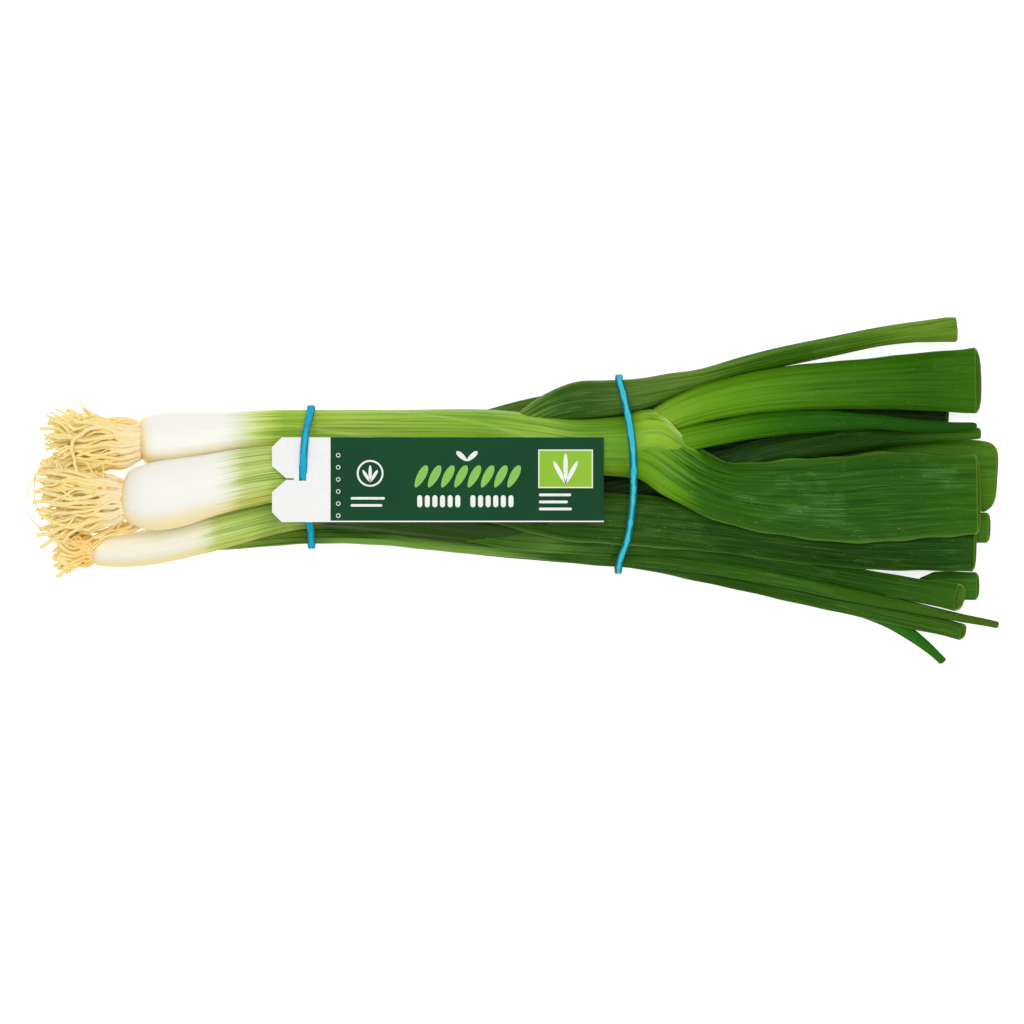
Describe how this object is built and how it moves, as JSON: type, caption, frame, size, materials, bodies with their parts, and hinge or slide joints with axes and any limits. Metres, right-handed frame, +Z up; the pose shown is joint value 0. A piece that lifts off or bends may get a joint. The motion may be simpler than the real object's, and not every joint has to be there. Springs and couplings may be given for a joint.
{
  "type": "spring onion bunch",
  "caption": "Bunch of spring onions lying flat: root tufts, white bulbs and green shanks, hollow cut leaves, two elastic bands and a card tag.",
  "frame": {"origin": "on the surface the bunch lies on, under the middle of its bounding box", "axes": "+X along the bunch from the roots to the cut leaf ends, +Y across it, +Z up from the surface"},
  "size_m": [0.294, 0.1043, 0.0278],
  "materials": {
    "leaf": "fresh plant tissue, satin with a thin waxy bloom",
    "shank": "fresh plant tissue, smooth and satin, white at the bulb and green towards the leaves",
    "root": "matte, straw coloured",
    "band": "satin blue elastic",
    "tag": "smooth coated card, dark green and white"
  },
  "bodies": {
    "root": {"shank_upper": "shank", "shank_middle": "shank", "shank_lower": "shank", "leaf_upper_outer": "leaf", "leaf_upper_inner": "leaf", "leaf_upper_side": "leaf", "leaf_upper_slim": "leaf", "leaf_upper_low": "leaf", "leaf_middle_outer": "leaf", "leaf_middle_slim": "leaf", "leaf_middle_wide": "leaf", "leaf_middle_low": "leaf", "leaf_lower_outer": "leaf", "leaf_lower_top": "leaf", "leaf_lower_slim": "leaf", "leaf_lower_broad": "leaf", "leaf_lower_side": "leaf", "roots_upper": "root", "roots_middle": "root", "roots_lower": "root", "band_root_end": "band", "band_leaf_end": "band", "tag": "tag"}
  },
  "joints": []
}
